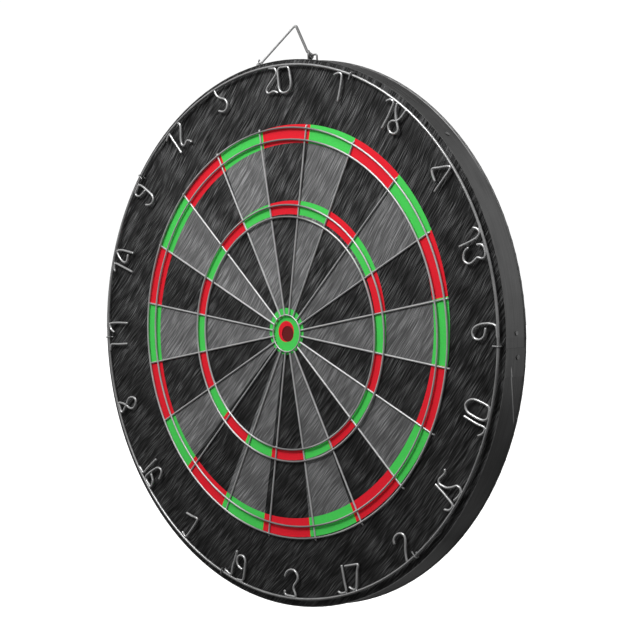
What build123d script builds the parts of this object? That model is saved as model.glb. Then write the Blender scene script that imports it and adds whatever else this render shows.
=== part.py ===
from build123d import *
import math
import os

# Dartboard with a raised wire cage: a round core of tightly wound paper between a
# printed facing and a fibreboard back, a painted steel band round the rim, a welded
# wire spider on the face, a turning number ring in six wire clips, and a wire bail
# hooked into two staples at the top. Millimetres, +Z up, the face looks along -Y,
# the back lies in the plane y = 0 and the origin is at its centre.
#
# Clock angles are in degrees, clockwise from the top as a player sees the board.

# ---- board -----------------------------------------------------------------
board_r = 225.5            # outside of the rim band: a 451 mm board
board_t = 24.2             # back plane to face plane
band_t = 0.6               # sheet steel of the rim band
band_proud = 0.3           # the band stands this far in front of the face
band_hem_r = 0.8           # rolled hem on the band's back edge
lap_from, lap_to = 92.0, 97.5    # clock angles of the band's overlapped joint
back_t = 3.0               # fibreboard back
facing_t = 0.6             # printed facing
core_gap = 0.1             # assembly gap inside the band
face_y = -board_t

# ---- centre plug -----------------------------------------------------------
plug_r = 6.4
plug_bore_r = 6.5
plug_x, plug_z = 0.9, 0.05
plug_recess = 0.4

# ---- wire spider -----------------------------------------------------------
spider_x, spider_z = 0.95, 0.43   # centre of the spider on the board
spider_turn = -0.7                # degrees clockwise
spider_wire = 1.6                 # diameter
spoke_h = 0.6                     # wire centre above the face, pressed 0.2 in
ring_h = 1.7                      # ring wires lie on the radial wires, welded
double_outer_r = 169.4
double_inner_r = 159.6
treble_outer_r = 106.0
treble_inner_r = 96.2
bull_ring_r = 15.2
bull_wire = 1.2                   # the bull ring is a thinner wire
spoke_in_r = 14.7
spoke_out_r = 171.8               # turned-down end of each radial wire
spoke_leg = 6.0                   # length driven into the board
sectors = 20

# ---- number ring -----------------------------------------------------------
hoop_z = 1.1                      # centre of the ring above the board's centre
hoop_r = 219.8
hoop_wire = 2.25
hoop_h = 3.0                      # wire centre above the face
numeral_wire = 1.9
clip_wire = 1.2
clip_angles = (20.7, 91.9, 141.2, 200.5, 268.2, 308.3)
clip_r = hoop_r + 2.05            # outside leg of a clip
clip_low_h = 0.95
clip_high_h = 5.05
clip_over_r = 216.0               # end of the arm over the ring
clip_leg_r = 217.3                # the leg in the board
clip_leg = 7.0

# ---- hanger ----------------------------------------------------------------
hanger_angle = -1.83              # clock angle of the hanger's middle
hanger_y = -12.2                  # depth of the hinge line
hanger_w = 227.8                  # hinge line above the board's centre
hook_left, hook_right = -31.6, 27.2     # each hook, from the middle
eye_wire = 1.6
eye_gap = 2.6                     # staple's inner leg from the hook
left_span, right_span = 5.4, 9.6  # width of each staple
eye_depth = 9.0                   # staple legs below the rim
bail_wire = 2.4
bail_hook = 2.25                  # hook centreline from the hinge line
bail_lean = 15.6                  # degrees back from upright, towards the wall
bail_reach = 31.3                 # hinge line to the apex, along the bail
bail_apex_u = 1.7                 # the hand-bent triangle's apex, from the middle
bail_apex_r = 3.0

# ---- rim nails -------------------------------------------------------------
nails = ((46.4, -14.0), (89.2, -12.2), (93.8, -11.2), (226.4, -12.2), (313.6, -12.2))
nail_head_r, nail_head_h = 1.9, 0.6
nail_r, nail_len = 0.8, 12.0

# Wire paths of the numerals, each number's middle at its own clock angle:
# (closed, [(along the ring clockwise, distance from the ring's centre), ...])
numeral_order = (20, 1, 18, 4, 13, 6, 10, 15, 2, 17, 3, 19, 7, 16, 8, 11, 14, 9, 12, 5)
numeral_paths = {
    20: [(False, [(-13.3, 219), (-9.4, 218), (-6.7, 218), (-4.7, 214), (-8.6, 209.4), (-14.9, 203.5), (-16.4, 201.3), (-15.2, 198.5), (-12.5, 198.3), (-8.6, 199.5), (-5.5, 198.6), (-3.6, 197.5)]),
        (True, [(-3.1, 216.3), (-2.8, 209.2), (-2, 201.4), (-0.7, 198.6), (3.2, 197), (7.1, 197.6), (10.6, 200.1), (11.5, 204.8), (10.6, 211), (8.4, 218), (3.2, 218), (-0.7, 218)])],
    1: [(False, [(-7.5, 215.7), (-3.5, 218), (-0.4, 218), (1.2, 212.4), (2, 203), (2.3, 196.4)])],
    18: [(False, [(-15, 215), (-12.6, 218), (-8.7, 218), (-7.1, 208), (-6.8, 195.1)]),
        (False, [(-4.8, 219), (-2.9, 213.4), (1.5, 207.9), (6.2, 204.1), (8.1, 201.8), (7, 198.6), (3.1, 196.6), (-0.9, 197.7), (-2.9, 200.9), (-1.7, 204.8), (2.3, 207.1), (4.6, 211.1), (5.9, 219)])],
    4: [(False, [(5.6, 194.9), (4.1, 201.9), (3, 208.2), (0.2, 218), (-6.9, 208.3), (-9.7, 203.2), (-5.3, 200.8), (-0.6, 199.8)])],
    13: [(False, [(-16.5, 213.8), (-13.8, 217.5), (-11, 218), (-8.6, 214.9), (-7.5, 207), (-7.2, 196.4)]),
        (False, [(-3.3, 212.4), (-2, 216.3), (0.3, 218), (5, 218), (8.2, 216.5), (7.7, 212.5), (5.8, 210.1), (7.4, 206.2), (8.2, 201.6), (6.6, 198.4), (3.4, 196.7), (-0.5, 198.3), (-2.8, 200.6), (-3.6, 203.8)])],
    6: [(False, [(-5.9, 208.1), (-2, 207.6), (1.1, 205.7), (2.7, 201.8), (1.6, 197.5), (-2, 195.5), (-5.9, 197.1), (-8.3, 201.2), (-9.5, 207.5), (-9.4, 213.7), (-8, 218), (0.4, 219)])],
    10: [(True, [(-14.6, 217.5), (-12.3, 218), (-6, 218), (-3.3, 214.7), (-3.3, 202.9), (-4.4, 198.2), (-8.3, 195.2), (-12.3, 197), (-15.1, 201.1), (-15.7, 209.8)]),
        (False, [(-0, 196.6), (1.4, 209.2), (1.9, 218), (6.6, 217.1), (9.4, 213.8)])],
    15: [(False, [(-15.6, 196.5), (-14, 198.2), (-10.9, 197.5), (-5.4, 195.9), (-3.3, 197), (-3.8, 201.7), (-5.4, 205.6), (-9.3, 209.7), (-12.8, 212.2), (-13.5, 216.2), (-11.7, 218), (-6.9, 218), (-2.2, 216.6)]),
        (False, [(-0.4, 195.7), (0.1, 204.8), (0.9, 212.6), (2, 218), (5.6, 218), (8, 216.7), (9.8, 213.6)])],
    2: [(False, [(2.7, 201.1), (1.4, 198.4), (-1.7, 196.9), (-5.6, 196.9), (-8.8, 198.9), (-9.9, 202.1), (-8, 206), (-4.9, 209.8), (-2.5, 213.7), (-0.1, 219)])],
    17: [(False, [(-2.8, 197.7), (-11.5, 198.9), (-17, 200.1), (-14.6, 204.1), (-11.5, 211.8), (-8.3, 218), (-6, 218), (-2, 214.9)]),
        (False, [(0.6, 196.5), (1.1, 202), (1.9, 209.9), (2.7, 218), (5, 218), (8.2, 218), (10.8, 216.1)])],
    3: [(False, [(3.1, 202.1), (1.5, 198.9), (-1.6, 196.6), (-5.5, 195.9), (-9.5, 197.9), (-11.5, 201.6), (-10.2, 205.5), (-7.1, 208.8), (-6.3, 211.6), (-7.9, 214.8), (-8.7, 218), (-2.4, 218), (0.7, 218), (3.6, 217), (3.6, 214.3)])],
    19: [(False, [(-11.4, 208.6), (-6.7, 207.6), (-4.3, 205.2), (-3.5, 201.3), (-5.1, 198.2), (-9.8, 197.2), (-12.9, 200.1), (-14, 205.6), (-15, 213.5), (-15, 217.4), (-8.2, 219)]),
        (False, [(-1.5, 195.7), (-1.2, 202), (-0.4, 209.9), (-0.4, 218), (2, 218), (6.7, 217)])],
    7: [(False, [(4, 199.5), (-3.1, 197.2), (-9, 195.3), (-9.3, 202.1), (-8.1, 211.4), (-6.5, 218), (-1.5, 216.7)])],
    16: [(False, [(-15.1, 203.7), (-13.5, 199.7), (-10.4, 196.4), (-6.4, 198.2), (-4.6, 204.8), (-4.6, 218), (-11.1, 218), (-14.6, 218), (-12.7, 212.2), (-6.1, 209.5)]),
        (False, [(0.9, 196.1), (0.9, 209.4), (0.6, 218), (3.8, 218), (7.7, 219)])],
    8: [(True, [(1.3, 218), (-1.1, 212.2), (-4.2, 208.4), (-7.4, 205.3), (-8.5, 201.4), (-6.6, 197.4), (-2.7, 195), (0, 196.5), (1.6, 200.5), (0.9, 204.4), (-2.7, 208.3), (-5.8, 212.3), (-8.2, 217.1), (-1.9, 218)])],
    11: [(False, [(-12.6, 195.8), (-13.2, 207.6), (-13.7, 217), (-16.1, 218), (-19.2, 219)]),
        (False, [(5.9, 194.7), (6.2, 204.1), (5.9, 213.5), (5.1, 218), (0.4, 216.6), (-2.2, 212.7)])],
    14: [(False, [(-14.7, 216.3), (-12.8, 218), (-10.5, 218), (-8.1, 218), (-7.8, 208.5), (-8.4, 194.1)]),
        (False, [(8, 197.6), (7.2, 205.4), (6, 213.2), (3.6, 218), (-0.3, 214.7), (-3.4, 207.6), (-2.6, 203.7), (0.5, 202.9), (4.4, 203.4)])],
    9: [(False, [(1.5, 208.4), (-3.2, 209.7), (-7.2, 212.1), (-8.7, 216.1), (-7.2, 218), (-2.5, 218), (1, 218), (2.6, 212), (3, 203.4), (3, 197.9), (0.7, 194.8), (-3.2, 194.8), (-6.4, 197.2), (-8.3, 200.4)])],
    12: [(False, [(-6.4, 195.7), (-6.9, 201.7), (-8, 211.1), (-8.8, 218), (-14.8, 216.2)]),
        (False, [(5.6, 219), (7.2, 216.6), (4.1, 211), (0.1, 205.5), (-1.7, 200.8), (-0.6, 198.4), (1.7, 198.1), (4.9, 199.6), (7.2, 198.6), (9.3, 195.2)])],
    5: [(False, [(-10.8, 219), (-9.7, 214.2), (-5.8, 210.1), (-1.9, 207.7), (0, 203), (-1.9, 199.1), (-5.8, 198.1), (-8.9, 199.3), (-11.3, 201)])],
}


def at_clock(shape, angle):
    """Turns a shape built at the top of the board to a clock angle."""
    return Rot(0, angle, 0) * shape


def wire_along(points, radii, diameter, close=False):
    """A round wire along straight runs joined by tangent arcs."""
    path = FilletPolyline(*points, radius=radii, close=close)
    section = Plane(origin=path @ 0, z_dir=path % 0) * Circle(diameter / 2)
    return sweep(section, path=path)


def ring_wire(radius, height, diameter):
    """A closed ring of wire parallel to the face."""
    torus = Rot(90, 0, 0) * Torus(radius, diameter / 2)
    return Pos(0, face_y - height, 0) * torus


def disc(radius, y0, y1):
    """A disc about the Y axis from y0 to y1."""
    return Pos(0, (y0 + y1) / 2, 0) * (Rot(90, 0, 0) * Cylinder(radius, abs(y1 - y0)))


def save(shape, name, label=None):
    shape.label = name
    export_step(shape, "parts/" + name + ".step")


os.makedirs("parts", exist_ok=True)

# ---- board -----------------------------------------------------------------
inner_r = board_r - band_t
core_r = inner_r - core_gap
bore = Pos(plug_x, 0, plug_z) * disc(plug_bore_r, -board_t - 1, -back_t)

wound_core = disc(core_r, face_y + facing_t, -back_t) - bore
face_sheet = disc(core_r, face_y, face_y + facing_t) - bore
backing_board = disc(core_r, -back_t, 0)
centre_plug = Pos(plug_x, 0, plug_z) * disc(plug_r, face_y + plug_recess, -back_t)

band = disc(board_r, face_y - band_proud, 0) - disc(inner_r, face_y - 1, 1)
hem = Pos(0, -band_hem_r - 0.1, 0) * (Rot(90, 0, 0) * Torus(board_r, band_hem_r))
hem = hem - disc(inner_r, -10, 1)
lap_span = lap_to - lap_from
lap = disc(board_r + band_t, face_y - band_proud, -2.2) - disc(inner_r, face_y - 1, 1)
wedge_r = board_r * 1.2
wedge_pts = [(0, 0)] + [
    (wedge_r * math.sin(math.radians(a)), wedge_r * math.cos(math.radians(a)))
    for a in (lap_from, (lap_from + lap_to) / 2, lap_to)
]
wedge = Pos(0, -40, 0) * (
    Rot(-90, 0, 0) * extrude(make_face(Polyline(*[(x, -z) for x, z in wedge_pts], close=True)), 60)
)
lap = lap & wedge
rim_band = band + hem + lap

nail_solids = []
for angle, y in nails:
    on_lap = lap_from < angle < lap_to
    top = board_r + (band_t if on_lap else 0.0)
    head = Pos(0, y, top + nail_head_h / 2 - 0.05) * Cylinder(nail_head_r, nail_head_h + 0.1)
    head = fillet(head.faces().sort_by(Axis.Z)[-1].edges(), nail_head_h * 0.6)
    shank = Pos(0, y, top - nail_len / 2) * Cylinder(nail_r, nail_len)
    nail_solids.append(at_clock((head + shank).solid(), angle))

# ---- spider ----------------------------------------------------------------
on_spider = Pos(spider_x, 0, spider_z) * Rot(0, spider_turn, 0)
spoke_y = face_y - spoke_h
spoke = wire_along(
    [(0, spoke_y, spoke_in_r), (0, spoke_y, spoke_out_r), (0, spoke_y + spoke_leg, spoke_out_r)],
    [1.5],
    spider_wire,
)
spokes = [
    (on_spider * at_clock(spoke, 9.0 + k * 360.0 / sectors)).solid() for k in range(sectors)
]
rings = {
    "double_outer_wire": double_outer_r,
    "double_inner_wire": double_inner_r,
    "treble_outer_wire": treble_outer_r,
    "treble_inner_wire": treble_inner_r,
    "bull_ring_wire": bull_ring_r,
}

# ---- number ring -----------------------------------------------------------
on_hoop = Pos(0, 0, hoop_z)
number_hoop = on_hoop * ring_wire(hoop_r, hoop_h, hoop_wire)
numeral_y = face_y - hoop_h


def numeral_strands(points, closed):
    """Splits a numeral's wire where it turns too sharply for one bend, and gives each run its bends."""
    n = len(points)
    vec = [Vector(*p) for p in points]

    def turn_at(i):
        a = vec[i] - vec[(i - 1) % n]
        b = vec[(i + 1) % n] - vec[i]
        turn = math.radians(a.get_angle(b))
        room = 0.46 * min(a.length, b.length)
        return turn, room

    radius = {}
    for i in range(n) if closed else range(1, n - 1):
        turn, room = turn_at(i)
        radius[i] = min(9.0, room / math.tan(turn / 2))
    sharp = [i for i in radius if radius[i] < numeral_wire / 2 + 0.1]
    if closed and not sharp:
        return [(list(range(n)), radius, True)], []
    order = list(range(n))
    if closed:
        if len(sharp) == 1:
            sharp.append((sharp[0] + n // 2) % n)
        start = sharp[0]
        order = [(start + k) % n for k in range(n + 1)]
    cuts = [0] + [k for k in range(1, len(order) - 1) if order[k] in sharp] + [len(order) - 1]
    runs = [(order[a : b + 1], radius, False) for a, b in zip(cuts, cuts[1:])]
    return runs, sharp


def numeral(number, clock):
    """The wire or wires of one number as a list of solids."""
    solids = []
    for closed, path in numeral_paths[number]:
        points = []
        for u, r in path:
            a = math.radians(clock) + u / r
            points.append((r * math.sin(a), numeral_y, hoop_z + r * math.cos(a)))
        runs, sharp = numeral_strands(points, closed)
        wire = None
        for run, radius, loop in runs:
            if loop:
                # a closed wire is made from two halves, so that each is an open run
                half = len(run) // 2
                mid = lambda i: tuple((Vector(*points[i]) + Vector(*points[(i + 1) % len(run)])) / 2)
                first = [mid(len(run) - 1)] + [points[i] for i in run[: half + 1]] + [mid(half)]
                second = [mid(half)] + [points[i] for i in run[half + 1 :]] + [mid(len(run) - 1)]
                pieces = [
                    wire_along(first, [radius[i] for i in run[: half + 1]], numeral_wire),
                    wire_along(second, [radius[i] for i in run[half + 1 :]], numeral_wire),
                ]
            elif len(run) == 2:
                a, b = Vector(*points[run[0]]), Vector(*points[run[1]])
                pieces = [Plane(origin=a, z_dir=b - a) * Cylinder(
                    numeral_wire / 2, (b - a).length, align=(Align.CENTER, Align.CENTER, Align.MIN))]
            else:
                pieces = [wire_along([points[i] for i in run], [radius[i] for i in run[1:-1]], numeral_wire)]
            for piece in pieces:
                wire = piece if wire is None else wire + piece
        for i in sharp:
            wire = wire + Pos(*points[i]) * Sphere(numeral_wire / 2)
        solids += list(wire.solids())
    return solids


clip_y = lambda h: face_y - h
clip = wire_along(
    [
        (0, clip_y(-clip_leg), clip_leg_r),
        (0, clip_y(clip_low_h), clip_leg_r),
        (0, clip_y(clip_low_h), clip_r),
        (0, clip_y(clip_high_h), clip_r),
        (0, clip_y(clip_high_h), clip_over_r),
    ],
    [0.9, 1.2, 1.2],
    clip_wire,
)
clips = [(on_hoop * at_clock(clip, a)).solid() for a in clip_angles]

# ---- hanger ----------------------------------------------------------------
# built at the top: x across, y depth, z up, with the hinge line along x
lean = math.radians(bail_lean)


def on_bail(u, q, p):
    """A point u across, q behind and p up along the leaning bail, from the hinge line."""
    return (
        u,
        hanger_y + q * math.cos(lean) + p * math.sin(lean),
        hanger_w - q * math.sin(lean) + p * math.cos(lean),
    )


left_hook = [
    (hook_left + 1.3, -bail_hook, 3.0),
    (hook_left, -bail_hook, 0.8),
    (hook_left, -bail_hook, -bail_hook),
    (hook_left, bail_hook, -bail_hook),
    (hook_left, bail_hook, 2.0),
]
# the right leg comes down more steeply and turns outwards to its hook
right_hook = [
    (20.6, bail_hook, 4.7),
    (hook_right, bail_hook, 0.7),
    (hook_right, bail_hook, -bail_hook),
    (hook_right, -bail_hook, -bail_hook),
    (hook_right, -bail_hook, 0.8),
    (hook_right - 1.3, -bail_hook, 3.0),
]
bail_points = (
    [on_bail(*v) for v in left_hook]
    + [on_bail(bail_apex_u, bail_hook, bail_reach)]
    + [on_bail(*v) for v in right_hook]
)
bail_radii = [1.9, 2.2, 2.2, 4.0, bail_apex_r, 5.0, 1.6, 1.9, 2.2, 1.9]
bail = wire_along(bail_points, bail_radii, bail_wire)


def hanger_eye(hook, span):
    """The staple that a hook of the bail turns in, with its legs in the rim."""
    side = 1 if hook > 0 else -1
    near = hook - side * eye_gap
    far = near + side * span
    foot = math.sqrt(board_r**2 - hook**2) - eye_depth
    return wire_along(
        [
            (near, hanger_y, foot),
            (near, hanger_y, hanger_w),
            (far, hanger_y, hanger_w),
            (far, hanger_y, foot),
        ],
        [1.5, 1.5],
        eye_wire,
    )

# ---- write the pieces ------------------------------------------------------
save(wound_core, "wound_core")
save(centre_plug, "centre_plug")
save(face_sheet, "face_sheet")
save(backing_board, "backing_board")
save(rim_band, "rim_band")
save(Compound(children=nail_solids), "band_nails")
for name, radius in rings.items():
    wire = bull_wire if name == "bull_ring_wire" else spider_wire
    height = ring_h - (spider_wire - wire) / 2
    save(Pos(spider_x, 0, spider_z) * ring_wire(radius, height, wire), name)
save(Compound(children=spokes), "radial_wires")
save(Compound(children=clips), "number_ring_clips")
save(number_hoop, "number_hoop")
for k, number in enumerate(numeral_order):
    save(Compound(children=numeral(number, 18.0 * k)), "numeral_%02d" % number)
save(at_clock(bail, hanger_angle), "hanger_bail")
save(at_clock(hanger_eye(hook_left, left_span), hanger_angle), "hanger_eye_left")
save(at_clock(hanger_eye(hook_right, right_span), hanger_angle), "hanger_eye_right")
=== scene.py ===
import math
import random

import bmesh
import bpy
import numpy as np
from mathutils import Matrix, Vector


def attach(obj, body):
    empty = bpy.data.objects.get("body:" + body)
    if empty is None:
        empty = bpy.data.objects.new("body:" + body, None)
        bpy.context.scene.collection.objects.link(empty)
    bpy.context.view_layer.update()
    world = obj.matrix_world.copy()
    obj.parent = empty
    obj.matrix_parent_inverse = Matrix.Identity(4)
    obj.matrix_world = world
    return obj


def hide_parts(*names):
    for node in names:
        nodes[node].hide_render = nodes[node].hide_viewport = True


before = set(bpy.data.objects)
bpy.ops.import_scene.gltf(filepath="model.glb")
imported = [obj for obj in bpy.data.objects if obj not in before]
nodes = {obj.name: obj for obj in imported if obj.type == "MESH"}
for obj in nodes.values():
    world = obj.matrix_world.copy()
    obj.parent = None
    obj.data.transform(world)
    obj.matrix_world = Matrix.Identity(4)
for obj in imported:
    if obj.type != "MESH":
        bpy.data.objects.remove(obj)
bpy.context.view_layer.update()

random.seed(7)
MM = 0.001
scene = bpy.context.scene


# ---------------------------------------------------------------- node helper
class Mat:
    """A material and short ways to add nodes to it."""

    def __init__(self, name):
        self.m = bpy.data.materials.new(name)
        self.m.use_nodes = True
        self.t = self.m.node_tree
        self.p = self.t.nodes["Principled BSDF"]
        self.out = self.t.nodes["Material Output"]
        self._co = None

    def n(self, kind, **props):
        node = self.t.nodes.new(kind)
        for k, v in props.items():
            setattr(node, k, v)
        return node

    def put(self, socket, value):
        if isinstance(value, bpy.types.NodeSocket):
            self.t.links.new(value, socket)
        elif value is not None:
            socket.default_value = value

    def mm(self):
        """Object coordinates in millimetres."""
        if self._co is None:
            tc = self.n("ShaderNodeTexCoord")
            s = self.n("ShaderNodeVectorMath", operation="SCALE")
            self.put(s.inputs[0], tc.outputs["Object"])
            s.inputs["Scale"].default_value = 1000.0
            self._co = s.outputs[0]
        return self._co

    def math(self, op, a, b=None, c=None, clamp=False):
        node = self.n("ShaderNodeMath", operation=op, use_clamp=clamp)
        self.put(node.inputs[0], a)
        self.put(node.inputs[1], b)
        self.put(node.inputs[2], c)
        return node.outputs[0]

    def vmath(self, op, a, b=None):
        node = self.n("ShaderNodeVectorMath", operation=op)
        self.put(node.inputs[0], a)
        self.put(node.inputs[1], b)
        return node.outputs[0]

    def sep(self, v):
        node = self.n("ShaderNodeSeparateXYZ")
        self.put(node.inputs[0], v)
        return node.outputs

    def com(self, x, y, z=0.0):
        node = self.n("ShaderNodeCombineXYZ")
        for k, v in enumerate((x, y, z)):
            self.put(node.inputs[k], v)
        return node.outputs[0]

    def rng(self, v, a, b, c=0.0, d=1.0, kind="LINEAR"):
        node = self.n("ShaderNodeMapRange", interpolation_type=kind, clamp=True)
        for k, x in enumerate((v, a, b, c, d)):
            self.put(node.inputs[k], x)
        return node.outputs[0]

    def noise(self, v, scale=1.0, detail=2.0, rough=0.5, dims="3D"):
        node = self.n("ShaderNodeTexNoise", noise_dimensions=dims)
        self.put(node.inputs["Vector"], v)
        node.inputs["Scale"].default_value = scale
        node.inputs["Detail"].default_value = detail
        node.inputs["Roughness"].default_value = rough
        return node.outputs[0]

    def voro(self, v, dims="2D", feature="F1", randomness=1.0):
        node = self.n("ShaderNodeTexVoronoi", voronoi_dimensions=dims, feature=feature)
        self.put(node.inputs["Vector"], v)
        node.inputs["Scale"].default_value = 1.0
        node.inputs["Randomness"].default_value = randomness
        return node.outputs

    def mix(self, f, a, b, blend="MIX"):
        node = self.n("ShaderNodeMix", data_type="RGBA", blend_type=blend)
        node.clamp_factor = True
        self.put(node.inputs[0], f)
        for k, v in ((6, a), (7, b)):
            if isinstance(v, tuple):
                v = (*v, 1.0) if len(v) == 3 else v
            self.put(node.inputs[k], v)
        return node.outputs[2]

    def bump(self, height, strength, distance):
        node = self.n("ShaderNodeBump")
        node.inputs["Strength"].default_value = strength
        node.inputs["Distance"].default_value = distance
        self.put(node.inputs["Height"], height)
        self.put(self.p.inputs["Normal"], node.outputs[0])

    def base(self, v):
        self.put(self.p.inputs["Base Color"], (*v, 1.0) if isinstance(v, tuple) else v)

    def rough(self, v):
        self.put(self.p.inputs["Roughness"], v)


def grey(v):
    """sRGB 0-255 grey to a linear colour."""
    c = (v / 255.0) ** 2.2
    return (c, c, c)


def rgb(r, g, b):
    return tuple((v / 255.0) ** 2.2 for v in (r, g, b))


# ---------------------------------------------------------------- printed face
def stroke_field(m):
    """Long fine pen strokes that climb to the right. Returns stroke strength, patch brightness and streak noise."""
    x, _, z = m.sep(m.mm())
    ang = math.radians(48.0)
    u = m.math("ADD", m.math("MULTIPLY", x, math.cos(ang)), m.math("MULTIPLY", z, math.sin(ang)))
    v = m.math("ADD", m.math("MULTIPLY", x, -math.sin(ang)), m.math("MULTIPLY", z, math.cos(ang)))
    v = m.math("SUBTRACT", v, m.math("MULTIPLY", m.math("MULTIPLY", u, u), 0.0003))
    warp = m.noise(m.com(u, v), 1 / 90.0, 1.0, 0.5, "2D")
    v = m.math("ADD", v, m.math("MULTIPLY", m.math("SUBTRACT", warp, 0.5), 7.0))
    total = None
    for j, (turn, length, width) in enumerate(zip((-0.075, -0.01, 0.05, 0.12), (27.0, 40.0, 32.0, 24.0), (0.68, 0.9, 0.78, 1.0))):
        c, s = math.cos(turn), math.sin(turn)
        uj = m.math("ADD", m.math("MULTIPLY", u, c), m.math("MULTIPLY", v, s))
        vj = m.math("ADD", m.math("MULTIPLY", u, -s), m.math("MULTIPLY", v, c))
        cell = m.voro(m.com(
            m.math("ADD", m.math("MULTIPLY", uj, 1 / length), 31.7 * (j + 1)),
            m.math("ADD", m.math("MULTIPLY", vj, 1 / width), 17.3 * (j + 1)),
        ))
        shape = m.rng(cell["Distance"], 0.05, 0.36, 1.0, 0.0, "SMOOTHSTEP")
        pick = m.math("POWER", m.sep(cell["Color"])[0], 3.0)
        one = m.math("MULTIPLY", shape, pick)
        total = one if total is None else m.math("MAXIMUM", total, one)
    streak = m.noise(m.com(m.math("MULTIPLY", u, 1 / 40.0), m.math("MULTIPLY", v, 1 / 1.1)), 1.0, 2.0, 0.8, "2D")
    patch = m.noise(m.com(m.math("MULTIPLY", u, 1 / 46.0), m.math("MULTIPLY", v, 1 / 8.0)), 1.0, 2.0, 0.6, "2D")
    return total, patch, streak


def paper_bump(m, extra=None):
    fine = m.noise(m.mm(), 2.2, 4.0, 0.6)
    height = fine if extra is None else m.math("ADD", m.math("MULTIPLY", fine, 0.6), m.math("MULTIPLY", extra, 0.4))
    m.bump(height, 0.3, 0.0001)
    m.rough(m.rng(fine, 0.3, 0.7, 0.42, 0.56))
    m.p.inputs["Specular IOR Level"].default_value = 0.14


def stroke_print(name, floor_, streaks, hairs, patch_lo, patch_hi):
    """Ink whose mean depth is the face's tone (its grey with painted light and shade, paler towards the top and the
    right), broken into streaks and hairs.
    """
    m = Mat(name)
    tone = m.n("ShaderNodeAttribute", attribute_name="tone").outputs["Fac"]
    total, patch, streak = stroke_field(m)
    lift = m.rng(patch, 0.30, 0.70, patch_lo, patch_hi)
    body = m.math("ADD", floor_, m.math("MULTIPLY", m.math("POWER", m.rng(streak, 0.36, 0.72), 1.7), streaks))
    f = m.math("MULTIPLY", m.math("ADD", body, m.math("MULTIPLY", total, hairs)), lift)
    ink_and_painted_light = m.math("MULTIPLY", tone, f, None)
    m.base(m.com(ink_and_painted_light, ink_and_painted_light, m.math("MULTIPLY", ink_and_painted_light, 1.01)))
    paper_bump(m, total)
    return m.m


def flat_print(name, colour):
    m = Mat(name)
    n = m.noise(m.mm(), 0.9, 3.0, 0.6)
    soft = m.noise(m.mm(), 0.03, 2.0, 0.5)
    dark = tuple(0.92 * c for c in colour)
    lite = tuple(min(1.0, 1.05 * c) for c in colour)
    c1 = m.mix(m.rng(n, 0.3, 0.7), dark, lite)
    m.base(m.mix(m.rng(soft, 0.35, 0.65, 0.0, 0.3), c1, tuple(0.94 * c for c in colour)))
    paper_bump(m)
    return m.m


MAT_OUTER = stroke_print("print_outer_black", 0.0, 2.2, 6.6, 0.62, 1.28)
MAT_DARK = stroke_print("print_sector_black", 0.0, 2.2, 6.6, 0.62, 1.28)
MAT_LIGHT = stroke_print("print_sector_grey", 0.50, 0.92, 1.7, 0.92, 1.08)
MAT_RED = flat_print("print_red", (0.83, 0.015, 0.031))
MAT_GREEN = flat_print("print_green", (0.073, 0.67, 0.106))


def facing_edge():
    m = Mat("facing_cut_edge")
    layer = m.noise(m.vmath("MULTIPLY", m.mm(), (0.2, 9.0, 0.2)), 1.0, 2.0)
    m.base(m.mix(m.rng(layer, 0.3, 0.7), grey(30), grey(62)))
    m.rough(m.rng(layer, 0.3, 0.7, 0.75, 0.9))
    m.bump(layer, 0.4, 0.0001)
    return m.m


MAT_EDGE = facing_edge()

# distances of the printed edges from the board's centre, as a series over the clock angle
EDGES = {
    "red": (8.55, 2.0, -0.93, 0.07, 0.13, 0, 0),
    "treble_in": (97.39, 1.57, -0.32, 0.22, 0.81, -0.48, 0.13),
    "treble_out": (106.94, 3.06, 0.88, 0.27, 1.57, -0.53, 0.12),
    "double_in": (154.87, 2.18, 0.91, -0.14, 2.89, -0.24, 0.15),
    "double_out": (170.21, 2.33, 1.38, -0.2, 2.49, -0.48, 0.42),
}
# how far each printed sector line lies off its even place, clockwise, in degrees:
# at the treble band and at the double band
LINE_TREBLE = (0.15, -0.8, -0.7, -1.35, -1.3, -1.28, -0.7, -1.05, -0.1, -0.6, 2.05, 1.65, 1.5, -0.35, -0.45, -0.5, -0.1, -0.6, -0.15, -0.85)
LINE_DOUBLE = (0.9, -0.55, -0.7, -0.95, -1.35, -1.2, -0.95, -1.05, 0.65, 0.9, 1.7, 1.25, 1.05, -0.5, -0.45, -0.7, -0.4, -0.45, 0.65, 0.6)
TREBLE_MID, DOUBLE_MID = 101.5, 164.5
PRINT_X, PRINT_Z = -1.0, 1.9
LINES_X, LINES_Z = -1.5, 1.2
BORE_X, BORE_Z, BORE_R = 0.9, 0.05, 6.5
EDGE_R = 224.8
FRONT, REAR = -24.2, -23.6

# ink of each print as an sRGB grey: its middle value, and how much paler it is painted towards the top and the right,
# which is painted light and shade for how the light falls across the board
DARK_INK_AND_PAINTED_LIGHT = (46.0, 8.0, 0.0)
LIGHT_INK_AND_PAINTED_LIGHT = (109.0, 6.0, -6.0)
OUTER_INK_AND_PAINTED_LIGHT = (45.0, 6.0, -2.0)


def ink_and_painted_light(kind, clock):
    middle, top_painted_shading, right = kind
    # the top and right terms are painted light and shade laid over the ink's grey
    return grey(middle + top_painted_shading * math.cos(math.radians(clock)) + right * math.sin(math.radians(clock)))[0]


def edge_radius(name, th):
    if name == "bore" or name == "green" or name == "rim":
        cx, cz, r = {
            "bore": (BORE_X, BORE_Z, BORE_R),
            "green": (PRINT_X + 0.5, PRINT_Z + 0.2, 19.3),
            "rim": (0.0, 0.0, EDGE_R),
        }[name]
        b = cx * math.sin(th) + cz * math.cos(th)
        return b + math.sqrt(max(0.0, b * b - (cx * cx + cz * cz) + r * r))
    a0, a1, b1, a2, b2, a3, b3 = EDGES[name]
    return (a0 + a1 * math.cos(th) + b1 * math.sin(th) + a2 * math.cos(2 * th) + b2 * math.sin(2 * th)
            + a3 * math.cos(3 * th) + b3 * math.sin(3 * th))


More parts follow.
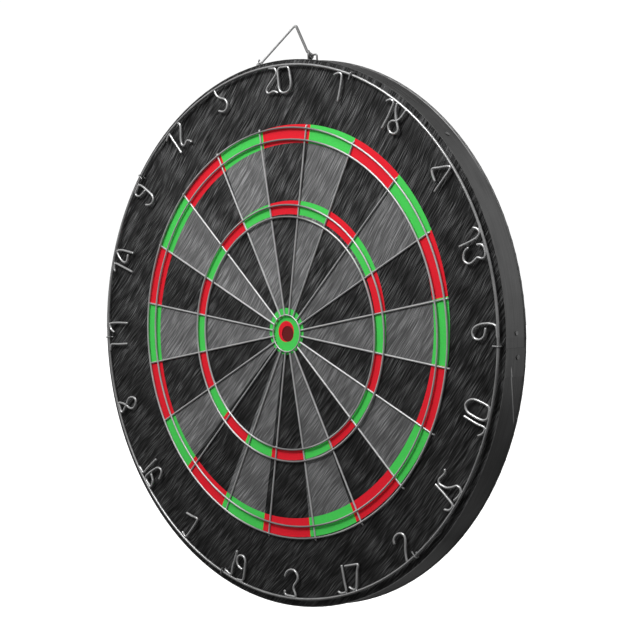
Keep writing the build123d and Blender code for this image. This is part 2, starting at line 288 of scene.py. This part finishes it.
def line_offset(k, r):
    """How far sector line k lies to the clockwise side at distance r, in millimetres."""
    k %= 20
    a = math.radians(9.0 + 18.0 * k)
    c = LINES_X * math.cos(a) - LINES_Z * math.sin(a)
    t = math.radians(LINE_TREBLE[k]) * TREBLE_MID
    d = math.radians(LINE_DOUBLE[k]) * DOUBLE_MID
    if r < TREBLE_MID:
        return c + (t - c) * r / TREBLE_MID
    return t + (d - t) * min(1.25, (r - TREBLE_MID) / (DOUBLE_MID - TREBLE_MID))


def column_angle(deg, r):
    """The true clock angle, in radians, of the mesh column that is nominally at deg."""
    q = (deg - 9.0) / 18.0
    k = math.floor(q)
    f = q - k
    off = (1 - f) * line_offset(k, r) + f * line_offset(k + 1, r)
    off *= min(1.0, r / 19.0) ** 2
    return math.radians(deg) + off / r


def face_print():
    steps = 720
    names = ["bore", "red", "green", "treble_in", "treble_out", "double_in", "double_out", "rim"]
    zone_mat = {  # (even sector, odd sector); sector 0 is the top one
        "bore": (3, 3), "red": (4, 4), "green": (1, 2), "treble_in": (3, 4),
        "treble_out": (1, 2), "double_in": (3, 4), "double_out": (0, 0),
    }
    parts = {"bore": 2, "red": 3, "green": 10, "treble_in": 2, "treble_out": 6, "double_in": 3, "double_out": 6}
    me = bpy.data.meshes.new("face_print")
    bm = bmesh.new()
    tone_layer = bm.faces.layers.float.new("tone")
    cols = []
    for k in range(steps):
        deg = k * 360.0 / steps
        rho = []
        for n in names:
            r = edge_radius(n, math.radians(deg))
            if n != "rim":
                for _ in range(4):
                    r = edge_radius(n, column_angle(deg, r))
            rho.append(r)
        if rho[1] < rho[0] + 0.12:  # the red disc almost touches the hole at the bottom
            rho[1] = rho[0] + 0.12
        col = []
        for i, n in enumerate(names[:-1]):
            for j in range(parts[n]):
                col.append(rho[i] + (rho[i + 1] - rho[i]) * j / parts[n])
        col.append(rho[-1])
        verts = []
        for r in col:
            th = column_angle(deg, r)
            verts.append(bm.verts.new((r * math.sin(th) * MM, FRONT * MM, r * math.cos(th) * MM)))
        cols.append(verts)
    zone_of = [n for n in names[:-1] for _ in range(parts[n])]
    for k in range(steps):
        a, b = cols[k], cols[(k + 1) % steps]
        mid = (k + 0.5) * 360.0 / steps
        sector = int(((mid + 9.0) % 360.0) // 18.0)
        for i, n in enumerate(zone_of):
            f = bm.faces.new((a[i], a[i + 1], b[i + 1], b[i]))
            f.material_index = zone_mat[n][sector % 2]
            # each face's tone is its ink grey with painted light and shade towards the top and the right
            f[tone_layer] = ink_and_painted_light(OUTER_INK_AND_PAINTED_LIGHT, mid) if n == "double_out" else ink_and_painted_light((DARK_INK_AND_PAINTED_LIGHT, LIGHT_INK_AND_PAINTED_LIGHT)[sector % 2], sector * 18.0)
    rear_in, rear_out = [], []
    for k in range(steps):
        for src, dst in ((cols[k][0], rear_in), (cols[k][-1], rear_out)):
            dst.append(bm.verts.new((src.co.x, REAR * MM, src.co.z)))
    for k in range(steps):
        q = (k + 1) % steps
        for quad in (
            (cols[k][-1], rear_out[k], rear_out[q], cols[q][-1]),
            (cols[q][0], rear_in[q], rear_in[k], cols[k][0]),
            (rear_in[k], rear_in[q], rear_out[q], rear_out[k]),
        ):
            bm.faces.new(quad).material_index = 5
    bm.normal_update()
    bmesh.ops.recalc_face_normals(bm, faces=bm.faces)
    bm.to_mesh(me)
    bm.free()
    ob = bpy.data.objects.new("face_print", me)
    scene.collection.objects.link(ob)
    for mat in (MAT_OUTER, MAT_DARK, MAT_LIGHT, MAT_RED, MAT_GREEN, MAT_EDGE):
        me.materials.append(mat)
    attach(ob, "board")
    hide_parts("face_sheet")
    return ob


face_print()


# ---------------------------------------------------------------- metals
def wire_metal(name, lo, hi, rough_lo, rough_hi, seed, metallic=1.0, shade=None):
    m = Mat(name)
    co = m.vmath("ADD", m.mm(), (seed, 2.3 * seed, 0.7 * seed))
    big = m.noise(co, 0.07, 2.0, 0.55)
    fine = m.noise(co, 0.9, 3.0, 0.6)
    tint = m.math("ADD", m.math("MULTIPLY", big, 0.55), m.math("MULTIPLY", fine, 0.45))
    colour = m.mix(m.rng(tint, 0.33, 0.68), grey(lo), grey(hi))
    m.base(colour if shade is None else shade(m, colour))
    m.p.inputs["Metallic"].default_value = metallic
    m.rough(m.rng(fine, 0.3, 0.72, rough_lo, rough_hi))
    m.bump(m.math("ADD", fine, m.math("MULTIPLY", big, 2.0)), 0.3, 0.00005)
    return m.m


def painted_shade_top_and_bottom(m, colour):
    """The ring wires are painted darker where they run level, at the top and the bottom of the board: painted shade
    that tones down the light they catch there.
    """
    x, _, z = m.sep(m.mm())
    upright = m.math("ABSOLUTE", m.math("COSINE", m.math("ARCTAN2", x, z)))
    return m.mix(m.rng(upright, 0.93, 0.985), colour, grey(134))


def painted_light_and_shade_on_legs(m, colour):
    """Painted light and shade: the bail's left leg is painted near white and the right leg painted grey, for how the
    light falls on the two legs.
    """
    x, _, _ = m.sep(m.mm())
    return m.mix(m.rng(x, -8.5, -3.5), m.mix(0.75, colour, grey(246)), grey(98))


SPIDER = wire_metal("galvanised_spider_wire", 170, 200, 0.36, 0.46, 3.0, 0.52)
NUMBER = wire_metal("galvanised_numeral_wire", 168, 204, 0.28, 0.40, 17.0, 0.72)
HOOP = wire_metal("galvanised_number_wire", 140, 176, 0.30, 0.42, 11.0, 0.8)
CLIP = wire_metal("galvanised_clip_wire", 128, 166, 0.34, 0.46, 23.0, 0.6)
STAPLE = wire_metal("galvanised_staple_wire", 104, 140, 0.36, 0.5, 29.0, 0.6)
RING = wire_metal("galvanised_ring_wire", 170, 200, 0.36, 0.46, 5.0, 0.52, painted_shade_top_and_bottom)
BAIL = wire_metal("dull_zinc_hanger_wire", 150, 186, 0.38, 0.50, 31.0, 0.30, painted_light_and_shade_on_legs)
NAIL = wire_metal("nail_steel", 84, 120, 0.34, 0.5, 41.0)


def rim_paint():
    m = Mat("satin_black_rim_enamel")
    co = m.mm()
    x, y, z = m.sep(co)
    theta = m.math("ARCTAN2", x, z)  # clock angle, radians
    along = m.math("MULTIPLY", theta, 225.5)
    cloud = m.noise(co, 0.02, 3.0, 0.55)
    brush = m.noise(m.com(m.math("MULTIPLY", along, 0.02), m.math("MULTIPLY", y, 0.9)), 1.0, 3.0, 0.6, "2D")
    fine = m.noise(co, 1.6, 3.0, 0.6)
    tone = m.math("ADD", m.math("MULTIPLY", cloud, 0.6), m.math("MULTIPLY", brush, 0.4))
    paint = m.mix(m.rng(tone, 0.35, 0.66), grey(90), grey(109))
    # painted shade: the rim is painted darker near the top of the board
    top_painted_shading = m.rng(m.math("ABSOLUTE", theta), math.radians(6), math.radians(16), 0.9, 0.0)
    paint = m.mix(top_painted_shading, paint, grey(52))
    # painted light: the rim is painted paler low on the right, between 134 and 176 degrees
    lower_right_painted_light = m.math("MULTIPLY", m.rng(theta, math.radians(134), math.radians(147)), m.rng(theta, math.radians(160), math.radians(176), 1.0, 0.0))
    paint = m.mix(lower_right_painted_light, paint, grey(148))
    # the enamel is thin along the front edge and rubbed on the rolled back edge
    edge = m.rng(y, -24.15, -24.45, 0.0, 1.0)
    chip = m.rng(m.noise(co, 0.3, 3.0, 0.6), 0.34, 0.66, 0.0, 0.5)
    bead = m.math("MULTIPLY", m.rng(y, -2.3, -1.5, 0.0, 1.0), m.rng(m.noise(co, 0.12, 2.0, 0.5), 0.35, 0.6, 0.15, 0.35))
    worn = m.math("MAXIMUM", m.math("MULTIPLY", edge, chip), bead)
    paint = m.mix(worn, paint, grey(140))
    # painted highlight along the line where the hem begins, on the upper right, and one long bright line beside the
    # joint
    arc = m.math("MULTIPLY", m.rng(theta, math.radians(14), math.radians(26)), m.rng(theta, math.radians(44), math.radians(58), 1.0, 0.0))
    fold = m.rng(m.math("ABSOLUTE", m.math("ADD", y, 3.0)), 0.45, 0.9, 1.0, 0.0)
    hem_painted_highlight = m.math("MULTIPLY", fold, m.math("MULTIPLY", arc, m.rng(m.noise(co, 0.15, 2.0, 0.5), 0.3, 0.6, 0.6, 1.0)))
    span = m.rng(theta, math.radians(95.4), math.radians(107.2))
    bent = m.math("MULTIPLY", m.math("MULTIPLY", span, m.math("SUBTRACT", 1.0, span)), -5.0)
    line = m.math("ADD", m.math("MULTIPLY_ADD", span, 15.5, -18.7), bent)
    inside = m.math("MULTIPLY", m.rng(span, 0.0, 0.06), m.rng(span, 0.94, 1.0, 1.0, 0.0))
    joint_bright_line = m.math("MULTIPLY", m.rng(m.math("ABSOLUTE", m.math("SUBTRACT", y, line)), 0.25, 0.75, 0.42, 0.0), inside)
    m.base(m.mix(m.math("MAXIMUM", hem_painted_highlight, joint_bright_line), paint, grey(235)))
    m.p.inputs["Metallic"].default_value = 0.9
    m.p.inputs["Specular Tint"].default_value = (0.18, 0.18, 0.18, 1.0)
    m.rough(m.math("ADD", m.math("ADD", m.rng(fine, 0.3, 0.7, 0.33, 0.41), m.math("MULTIPLY", cloud, 0.08)), m.rng(y, -2.2, -1.5, 0.0, 0.26)))
    calm = m.math("SUBTRACT", 1.0, bead)
    m.bump(m.math("MULTIPLY", calm, m.math("ADD", m.math("MULTIPLY", brush, 0.6), m.math("MULTIPLY", fine, 0.25))), 0.2, 0.00015)
    return m.m


RIM = rim_paint()


def plug_red_and_painted_shade():
    m = Mat("maroon_plug_paint")
    n = m.noise(m.mm(), 1.3, 4.0, 0.6)
    # the bull's red with painted shade: the plug is painted dark for the shade inside its recessed hole
    m.base(m.mix(m.rng(n, 0.3, 0.7), rgb(84, 14, 18), rgb(122, 28, 32)))
    m.rough(m.rng(n, 0.3, 0.7, 0.5, 0.68))
    m.bump(n, 0.4, 0.00015)
    m.p.inputs["Specular IOR Level"].default_value = 0.3
    return m.m


def wound_paper():
    m = Mat("wound_paper_core")
    x, y, z = m.sep(m.mm())
    r = m.math("SQRT", m.math("ADD", m.math("MULTIPLY", x, x), m.math("MULTIPLY", z, z)))
    layers = m.noise(m.com(m.math("MULTIPLY", r, 2.6), m.math("MULTIPLY", y, 0.08)), 1.0, 2.0, 0.6, "2D")
    fib = m.noise(m.mm(), 0.8, 3.0, 0.6)
    k = m.math("ADD", m.math("MULTIPLY", layers, 0.7), m.math("MULTIPLY", fib, 0.3))
    m.base(m.mix(m.rng(k, 0.35, 0.65), rgb(122, 98, 70), rgb(186, 160, 122)))
    m.rough(m.rng(k, 0.3, 0.7, 0.8, 0.95))
    m.bump(k, 0.5, 0.0003)
    return m.m


def hardboard():
    """Screen-side hardboard: brown fibres with the imprint of the press screen."""
    m = Mat("brown_hardboard_back")
    co = m.mm()
    x, y, z = m.sep(co)
    wave = lambda v, k: m.math("SINE", m.math("MULTIPLY", v, k))
    mesh = m.math("MULTIPLY", wave(x, 4.1), wave(z, 4.1))
    fib = m.noise(m.vmath("MULTIPLY", co, (0.7, 0.7, 0.35)), 1.0, 5.0, 0.65)
    cloud = m.noise(co, 0.018, 4.0, 0.6)
    speck = m.rng(m.noise(co, 1.9, 2.0, 0.7), 0.60, 0.72)
    tone = m.math("ADD", m.math("MULTIPLY", fib, 0.55), m.math("MULTIPLY", cloud, 0.45))
    c = m.mix(m.rng(tone, 0.35, 0.66), rgb(92, 58, 34), rgb(142, 98, 62))
    c = m.mix(m.math("MULTIPLY", speck, 0.6), c, rgb(58, 36, 22))
    c = m.mix(m.rng(mesh, 0.0, 1.0, 0.0, 0.25), c, rgb(66, 42, 26))
    m.base(c)
    m.rough(m.rng(fib, 0.3, 0.7, 0.7, 0.9))
    m.bump(m.math("ADD", m.math("MULTIPLY", mesh, 0.35), fib), 0.55, 0.00035)
    m.p.inputs["Specular IOR Level"].default_value = 0.3
    return m.m


def dress(node, mat):
    me = nodes[node].data
    if not len(me.materials):
        me.materials.append(mat)
    for k in range(len(me.materials)):
        me.materials[k] = mat


for name in ("double_outer_wire", "double_inner_wire", "treble_outer_wire", "treble_inner_wire"):
    dress(name, RING)
for name in ("bull_ring_wire", "radial_wires"):
    dress(name, SPIDER)
dress("number_ring_clips", CLIP)
dress("number_hoop", HOOP)
dress("hanger_bail", BAIL)
dress("hanger_eye_left", STAPLE)
dress("hanger_eye_right", STAPLE)
dress("rim_band", RIM)
dress("band_nails", NAIL)
dress("centre_plug", plug_red_and_painted_shade())
dress("wound_core", wound_paper())
dress("backing_board", hardboard())
dress("face_sheet", MAT_OUTER)


# ---------------------------------------------------------------- bent wires
def smooth_path(points, closed, step=0.8):
    """A smooth line through the points, sampled every step millimetres."""
    p = np.array(points, float)
    n = len(p)
    out = []

    def at(i):
        if closed:
            return p[i % n]
        if i < 0:
            return 2 * p[0] - p[1]
        if i >= n:
            return 2 * p[-1] - p[-2]
        return p[i]

    for i in range(n if closed else n - 1):
        p0, p1, p2, p3 = at(i - 1), at(i), at(i + 1), at(i + 2)
        t0 = 0.0
        t1 = t0 + max(1e-6, np.linalg.norm(p1 - p0)) ** 0.5
        t2 = t1 + max(1e-6, np.linalg.norm(p2 - p1)) ** 0.5
        t3 = t2 + max(1e-6, np.linalg.norm(p3 - p2)) ** 0.5
        count = max(2, int(np.linalg.norm(p2 - p1) / step))
        for k in range(count):
            t = t1 + (t2 - t1) * k / count
            a1 = (t1 - t) / (t1 - t0) * p0 + (t - t0) / (t1 - t0) * p1
            a2 = (t2 - t) / (t2 - t1) * p1 + (t - t1) / (t2 - t1) * p2
            a3 = (t3 - t) / (t3 - t2) * p2 + (t - t2) / (t3 - t2) * p3
            b1 = (t2 - t) / (t2 - t0) * a1 + (t - t0) / (t2 - t0) * a2
            b2 = (t3 - t) / (t3 - t1) * a2 + (t - t1) / (t3 - t1) * a3
            out.append((t2 - t) / (t2 - t1) * b1 + (t - t1) / (t2 - t1) * b2)
    if not closed:
        out.append(p[-1])
    q = np.array(out)
    for _ in range(3):  # takes the last kinks out of tight bends
        if closed:
            q = 0.5 * q + 0.25 * (np.roll(q, 1, 0) + np.roll(q, -1, 0))
        else:
            q[1:-1] = 0.5 * q[1:-1] + 0.25 * (q[:-2] + q[2:])
    return q


def tube(bm, path, radius, closed, sides=14, wobble=0.03):
    """Sweeps a round section along path (mm) with rounded cut ends."""
    p = np.array(path, float)
    n = len(p)
    if closed:
        tan = np.roll(p, -1, 0) - np.roll(p, 1, 0)
    else:
        tan = np.gradient(p, axis=0)
    tan /= np.linalg.norm(tan, axis=1)[:, None]
    out_of_plane = np.array((0.0, 1.0, 0.0))
    rings = []
    spots = []
    if not closed:
        for d, k in ((0.55, 0.62), (0.25, 0.9)):
            spots.append((p[0] - tan[0] * (d - 0.55) * 0 + tan[0] * (0.55 - d) * 0 - tan[0] * (d - 0.0) * radius, tan[0], k))
    for i in range(n):
        spots.append((p[i], tan[i], 1.0))
    if not closed:
        for d, k in ((0.25, 0.9), (0.55, 0.62)):
            spots.append((p[-1] + tan[-1] * d * radius, tan[-1], k))
    for i, (c, t, k) in enumerate(spots):
        side = np.cross(t, out_of_plane)
        side /= np.linalg.norm(side)
        up = np.cross(side, t)
        r = radius * k * (1 + wobble * math.sin(i * 0.37) * math.sin(i * 0.11 + 1.0))
        rings.append([
            bm.verts.new(tuple(float(v) * MM for v in c + r * (math.cos(a) * side + math.sin(a) * up)))
            for a in (2 * math.pi * s / sides for s in range(sides))
        ])
    pairs = list(zip(rings, rings[1:])) + ([(rings[-1], rings[0])] if closed else [])
    for a, b in pairs:
        for s in range(sides):
            q = (s + 1) % sides
            bm.faces.new((a[s], a[q], b[q], b[s]))
    if not closed:
        bm.faces.new(rings[0][::-1])
        bm.faces.new(rings[-1])


def blob(bm, centre, size, seed, axis_y=0.8):
    """A small uneven bead of weld metal."""
    rnd = random.Random(seed)
    got = bmesh.ops.create_icosphere(bm, subdivisions=2, radius=1.0)
    k = [rnd.uniform(0.85, 1.15) for _ in range(3)]
    ph = [rnd.uniform(0, 6.28) for _ in range(3)]
    for v in got["verts"]:
        c = v.co.copy()
        f = 1 + 0.10 * math.sin(3 * c.x + ph[0]) + 0.09 * math.sin(4 * c.z + ph[1]) + 0.06 * math.sin(5 * c.y + ph[2])
        v.co = Vector((
            (centre[0] + c.x * f * size * k[0]) * MM,
            (centre[1] + c.y * f * size * axis_y) * MM,
            (centre[2] + c.z * f * size * k[2]) * MM,
        ))


def finish_piece(bm, name, mat, body, slot, *replaced):
    me = bpy.data.meshes.new(name)
    bmesh.ops.recalc_face_normals(bm, faces=bm.faces)
    bm.to_mesh(me)
    bm.free()
    for f in me.polygons:
        f.use_smooth = True
    me.materials.append(mat)
    ob = bpy.data.objects.new(name, me)
    scene.collection.objects.link(ob)
    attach(ob, body)
    if replaced:
        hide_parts(*replaced)
    return ob


NUMERAL_ORDER = (20, 1, 18, 4, 13, 6, 10, 15, 2, 17, 3, 19, 7, 16, 8, 11, 14, 9, 12, 5)
# (closed, [(along the ring clockwise, distance from the ring's centre), ...]) in millimetres
NUMERALS = {
    20: [(False, [(-13.3, 219), (-9.4, 218), (-6.7, 218), (-4.7, 214), (-8.6, 209.4), (-14.9, 203.5), (-16.4, 201.3), (-15.2, 198.5), (-12.5, 198.3), (-8.6, 199.5), (-5.5, 198.6), (-3.6, 197.5)]),
        (True, [(-3.1, 216.3), (-2.8, 209.2), (-2, 201.4), (-0.7, 198.6), (3.2, 197), (7.1, 197.6), (10.6, 200.1), (11.5, 204.8), (10.6, 211), (8.4, 218), (3.2, 218), (-0.7, 218)])],
    1: [(False, [(-7.5, 215.7), (-3.5, 218), (-0.4, 218), (1.2, 212.4), (2, 203), (2.3, 196.4)])],
    18: [(False, [(-15, 215), (-12.6, 218), (-8.7, 218), (-7.1, 208), (-6.8, 195.1)]),
        (False, [(-4.8, 219), (-2.9, 213.4), (1.5, 207.9), (6.2, 204.1), (8.1, 201.8), (7, 198.6), (3.1, 196.6), (-0.9, 197.7), (-2.9, 200.9), (-1.7, 204.8), (2.3, 207.1), (4.6, 211.1), (5.9, 219)])],
    4: [(False, [(5.6, 194.9), (4.1, 201.9), (3, 208.2), (0.2, 218), (-6.9, 208.3), (-9.7, 203.2), (-5.3, 200.8), (-0.6, 199.8)])],
    13: [(False, [(-16.5, 213.8), (-13.8, 217.5), (-11, 218), (-8.6, 214.9), (-7.5, 207), (-7.2, 196.4)]),
        (False, [(-3.3, 212.4), (-2, 216.3), (0.3, 218), (5, 218), (8.2, 216.5), (7.7, 212.5), (5.8, 210.1), (7.4, 206.2), (8.2, 201.6), (6.6, 198.4), (3.4, 196.7), (-0.5, 198.3), (-2.8, 200.6), (-3.6, 203.8)])],
    6: [(False, [(-5.9, 208.1), (-2, 207.6), (1.1, 205.7), (2.7, 201.8), (1.6, 197.5), (-2, 195.5), (-5.9, 197.1), (-8.3, 201.2), (-9.5, 207.5), (-9.4, 213.7), (-8, 218), (0.4, 219)])],
    10: [(True, [(-14.6, 217.5), (-12.3, 218), (-6, 218), (-3.3, 214.7), (-3.3, 202.9), (-4.4, 198.2), (-8.3, 195.2), (-12.3, 197), (-15.1, 201.1), (-15.7, 209.8)]),
        (False, [(-0, 196.6), (1.4, 209.2), (1.9, 218), (6.6, 217.1), (9.4, 213.8)])],
    15: [(False, [(-15.6, 196.5), (-14, 198.2), (-10.9, 197.5), (-5.4, 195.9), (-3.3, 197), (-3.8, 201.7), (-5.4, 205.6), (-9.3, 209.7), (-12.8, 212.2), (-13.5, 216.2), (-11.7, 218), (-6.9, 218), (-2.2, 216.6)]),
        (False, [(-0.4, 195.7), (0.1, 204.8), (0.9, 212.6), (2, 218), (5.6, 218), (8, 216.7), (9.8, 213.6)])],
    2: [(False, [(2.7, 201.1), (1.4, 198.4), (-1.7, 196.9), (-5.6, 196.9), (-8.8, 198.9), (-9.9, 202.1), (-8, 206), (-4.9, 209.8), (-2.5, 213.7), (-0.1, 219)])],
    17: [(False, [(-2.8, 197.7), (-11.5, 198.9), (-17, 200.1), (-14.6, 204.1), (-11.5, 211.8), (-8.3, 218), (-6, 218), (-2, 214.9)]),
        (False, [(0.6, 196.5), (1.1, 202), (1.9, 209.9), (2.7, 218), (5, 218), (8.2, 218), (10.8, 216.1)])],
    3: [(False, [(3.1, 202.1), (1.5, 198.9), (-1.6, 196.6), (-5.5, 195.9), (-9.5, 197.9), (-11.5, 201.6), (-10.2, 205.5), (-7.1, 208.8), (-6.3, 211.6), (-7.9, 214.8), (-8.7, 218), (-2.4, 218), (0.7, 218), (3.6, 217), (3.6, 214.3)])],
    19: [(False, [(-11.4, 208.6), (-6.7, 207.6), (-4.3, 205.2), (-3.5, 201.3), (-5.1, 198.2), (-9.8, 197.2), (-12.9, 200.1), (-14, 205.6), (-15, 213.5), (-15, 217.4), (-8.2, 219)]),
        (False, [(-1.5, 195.7), (-1.2, 202), (-0.4, 209.9), (-0.4, 218), (2, 218), (6.7, 217)])],
    7: [(False, [(4, 199.5), (-3.1, 197.2), (-9, 195.3), (-9.3, 202.1), (-8.1, 211.4), (-6.5, 218), (-1.5, 216.7)])],
    16: [(False, [(-15.1, 203.7), (-13.5, 199.7), (-10.4, 196.4), (-6.4, 198.2), (-4.6, 204.8), (-4.6, 218), (-11.1, 218), (-14.6, 218), (-12.7, 212.2), (-6.1, 209.5)]),
        (False, [(0.9, 196.1), (0.9, 209.4), (0.6, 218), (3.8, 218), (7.7, 219)])],
    8: [(True, [(1.3, 218), (-1.1, 212.2), (-4.2, 208.4), (-7.4, 205.3), (-8.5, 201.4), (-6.6, 197.4), (-2.7, 195), (0, 196.5), (1.6, 200.5), (0.9, 204.4), (-2.7, 208.3), (-5.8, 212.3), (-8.2, 217.1), (-1.9, 218)])],
    11: [(False, [(-12.6, 195.8), (-13.2, 207.6), (-13.7, 217), (-16.1, 218), (-19.2, 219)]),
        (False, [(5.9, 194.7), (6.2, 204.1), (5.9, 213.5), (5.1, 218), (0.4, 216.6), (-2.2, 212.7)])],
    14: [(False, [(-14.7, 216.3), (-12.8, 218), (-10.5, 218), (-8.1, 218), (-7.8, 208.5), (-8.4, 194.1)]),
        (False, [(8, 197.6), (7.2, 205.4), (6, 213.2), (3.6, 218), (-0.3, 214.7), (-3.4, 207.6), (-2.6, 203.7), (0.5, 202.9), (4.4, 203.4)])],
    9: [(False, [(1.5, 208.4), (-3.2, 209.7), (-7.2, 212.1), (-8.7, 216.1), (-7.2, 218), (-2.5, 218), (1, 218), (2.6, 212), (3, 203.4), (3, 197.9), (0.7, 194.8), (-3.2, 194.8), (-6.4, 197.2), (-8.3, 200.4)])],
    12: [(False, [(-6.4, 195.7), (-6.9, 201.7), (-8, 211.1), (-8.8, 218), (-14.8, 216.2)]),
        (False, [(5.6, 219), (7.2, 216.6), (4.1, 211), (0.1, 205.5), (-1.7, 200.8), (-0.6, 198.4), (1.7, 198.1), (4.9, 199.6), (7.2, 198.6), (9.3, 195.2)])],
    5: [(False, [(-10.8, 219), (-9.7, 214.2), (-5.8, 210.1), (-1.9, 207.7), (0, 203), (-1.9, 199.1), (-5.8, 198.1), (-8.9, 199.3), (-11.3, 201)])],
}
HOOP_Z, HOOP_R, HOOP_Y = 1.1, 219.8, -27.2
NUMERAL_WIRE_R = 1.03


def numeral_place(u, r, clock):
    a = math.radians(clock) + u / r
    return (r * math.sin(a), HOOP_Y, HOOP_Z + r * math.cos(a))


weld_bm = bmesh.new()
for k, number in enumerate(NUMERAL_ORDER):
    bm = bmesh.new()
    for closed, path in NUMERALS[number]:
        pts = [numeral_place(u, r, 18.0 * k) for u, r in path]
        line = smooth_path(pts, closed)
        centre_r = np.hypot(line[:, 0], line[:, 2] - HOOP_Z)
        too_far = centre_r > HOOP_R - 0.6
        scale = np.where(too_far, (HOOP_R - 0.6) / centre_r, 1.0)
        line[:, 0] *= scale
        line[:, 2] = HOOP_Z + (line[:, 2] - HOOP_Z) * scale
        tube(bm, line, NUMERAL_WIRE_R, closed)
        touching = [(u, r) for u, r in path if r >= 217.9]
        for j, (u, r) in enumerate(touching[:1] + touching[-1:] if len(touching) > 1 else touching):
            blob(weld_bm, numeral_place(u, 218.75, 18.0 * k), 1.0, 100 * number + j, 0.92)
    finish_piece(bm, "number_%02d_wire" % number, NUMBER, "number_ring", "number_wire", "numeral_%02d" % number)
finish_piece(weld_bm, "number_welds", HOOP, "number_ring", "number_wire")

SPIDER_X, SPIDER_Z, SPIDER_TURN = 0.95, 0.43, -0.7
weld_bm = bmesh.new()
for i, r in enumerate((169.4, 159.6, 106.0, 96.2, 15.2)):
    for k in range(20):
        a = math.radians(SPIDER_TURN + 9.0 + 18.0 * k)
        rnd = random.Random(1000 * i + k)
        size = 1.05 if i < 4 else 0.7
        blob(weld_bm, (
            SPIDER_X + r * math.sin(a) + rnd.uniform(-0.15, 0.15),
            -24.2 - 1.2,
            SPIDER_Z + r * math.cos(a) + rnd.uniform(-0.15, 0.15),
        ), size * rnd.uniform(0.9, 1.15), 1000 * i + k, 0.95)
finish_piece(weld_bm, "spider_welds", SPIDER, "board", "spider_wire")


# ---------------------------------------------------------------- studio
def studio_floor():
    me = bpy.data.meshes.new("studio_floor")
    s, z = 14.0, -0.55
    me.from_pydata([(-s, -s, z), (s, -s, z), (s, s, z), (-s, s, z)], [], [(0, 1, 2, 3)])
    ob = bpy.data.objects.new("studio_floor", me)
    scene.collection.objects.link(ob)
    m = Mat("pale_floor")
    n = m.noise(m.mm(), 0.004, 2.0, 0.5)
    m.base(m.mix(m.rng(n, 0.3, 0.7), (0.90, 0.90, 0.90), (0.93, 0.93, 0.93)))
    m.rough(m.rng(n, 0.3, 0.7, 0.85, 0.95))
    m.p.inputs["Emission Color"].default_value = (1, 1, 1, 1)
    m.p.inputs["Emission Strength"].default_value = 0.75
    me.materials.append(m.m)
    ob.visible_diffuse = False
    ob.visible_glossy = False


studio_floor()

world = bpy.data.worlds.new("studio")
scene.world = world
world.use_nodes = True
wt = world.node_tree
wt.nodes.clear()
wout = wt.nodes.new("ShaderNodeOutputWorld")
geo = wt.nodes.new("ShaderNodeTexCoord")
sep = wt.nodes.new("ShaderNodeSeparateXYZ")
wt.links.new(geo.outputs["Generated"], sep.inputs[0])
ramp = wt.nodes.new("ShaderNodeValToRGB")


def world_math(op, a, b=None, c=None, clamp=False):
    node = wt.nodes.new("ShaderNodeMath")
    node.operation = op
    node.use_clamp = clamp
    for k, v in enumerate((a, b, c)):
        if isinstance(v, bpy.types.NodeSocket):
            wt.links.new(v, node.inputs[k])
        elif v is not None:
            node.inputs[k].default_value = v
    return node.outputs[0]


# the room is dim in front of the board and light behind it, and there's a pale wall off to the left
behind = world_math("MAXIMUM", sep.outputs[1], 0.0)
height = world_math("ADD", sep.outputs[2], world_math("MULTIPLY", behind, 0.16))
wt.links.new(world_math("MULTIPLY_ADD", height, 0.5, 0.5), ramp.inputs[0])
left = world_math("MULTIPLY_ADD", sep.outputs[0], -1 / 0.2, -0.66 / 0.2, True)
room = world_math("ADD", world_math("MULTIPLY_ADD", behind, 1.45, 1.0), world_math("MULTIPLY", left, 1.0))
# and a pale patch of floor behind and below
ground = world_math("MULTIPLY", world_math("MULTIPLY_ADD", sep.outputs[2], -1 / 0.14, -0.56 / 0.14, True), behind)
room = world_math("ADD", room, world_math("MULTIPLY", ground, 11.0))
e = ramp.color_ramp.elements
e[0].position, e[0].color = 0.0, (0.05, 0.05, 0.05, 1)
e[1].position, e[1].color = 1.0, (0.50, 0.50, 0.50, 1)
for pos, v in ((0.37, 0.05), (0.42, 0.10), (0.50, 0.30), (0.57, 0.46)):
    el = e.new(pos)
    el.color = (v, v, v, 1)
light_bg = wt.nodes.new("ShaderNodeBackground")
wt.links.new(ramp.outputs[0], light_bg.inputs[0])
wt.links.new(room, light_bg.inputs[1])
white_bg = wt.nodes.new("ShaderNodeBackground")
white_bg.inputs[0].default_value = (1, 1, 1, 1)
white_bg.inputs[1].default_value = 1.05
lp = wt.nodes.new("ShaderNodeLightPath")
wmix = wt.nodes.new("ShaderNodeMixShader")
wt.links.new(lp.outputs["Is Camera Ray"], wmix.inputs[0])
wt.links.new(light_bg.outputs[0], wmix.inputs[1])
wt.links.new(white_bg.outputs[0], wmix.inputs[2])
wt.links.new(wmix.outputs[0], wout.inputs[0])


def area(name, location, size, power, aim=(0, -0.02, 0)):
    data = bpy.data.lights.new(name, "AREA")
    data.shape = "DISK"
    data.size = size
    data.energy = power
    ob = bpy.data.objects.new(name, data)
    ob.location = Vector(location)
    ob.rotation_euler = (Vector(location) - Vector(aim)).to_track_quat("Z", "Y").to_euler()
    scene.collection.objects.link(ob)
    return ob


area("key", (-0.07, -0.90, 0.92), 0.35, 9.9)
area("softbox", (0.0, -0.52, 0.90), 0.75, 3.2)

scene.view_settings.view_transform = "Standard"
scene.view_settings.look = "None"

cam_data = bpy.data.cameras.new("camera")
cam = bpy.data.objects.new("camera", cam_data)
scene.collection.objects.link(cam)
cam_data.sensor_width = 36.0
cam_data.lens = 101.99
cam_data.clip_end = 60.0
right = Vector((0.7378, 0.6749, -0.0138)).normalized()
up = Vector((-0.0094, 0.0308, 0.9995))
up = (up - right * up.dot(right)).normalized()
back = right.cross(up).normalized()
m = Matrix((
    (right.x, up.x, back.x, 1.03904),
    (right.y, up.y, back.y, -1.11605),
    (right.z, up.z, back.z, 0.05322),
    (0, 0, 0, 1),
))
cam.matrix_world = m
scene.camera = cam

bpy.context.view_layer.update()
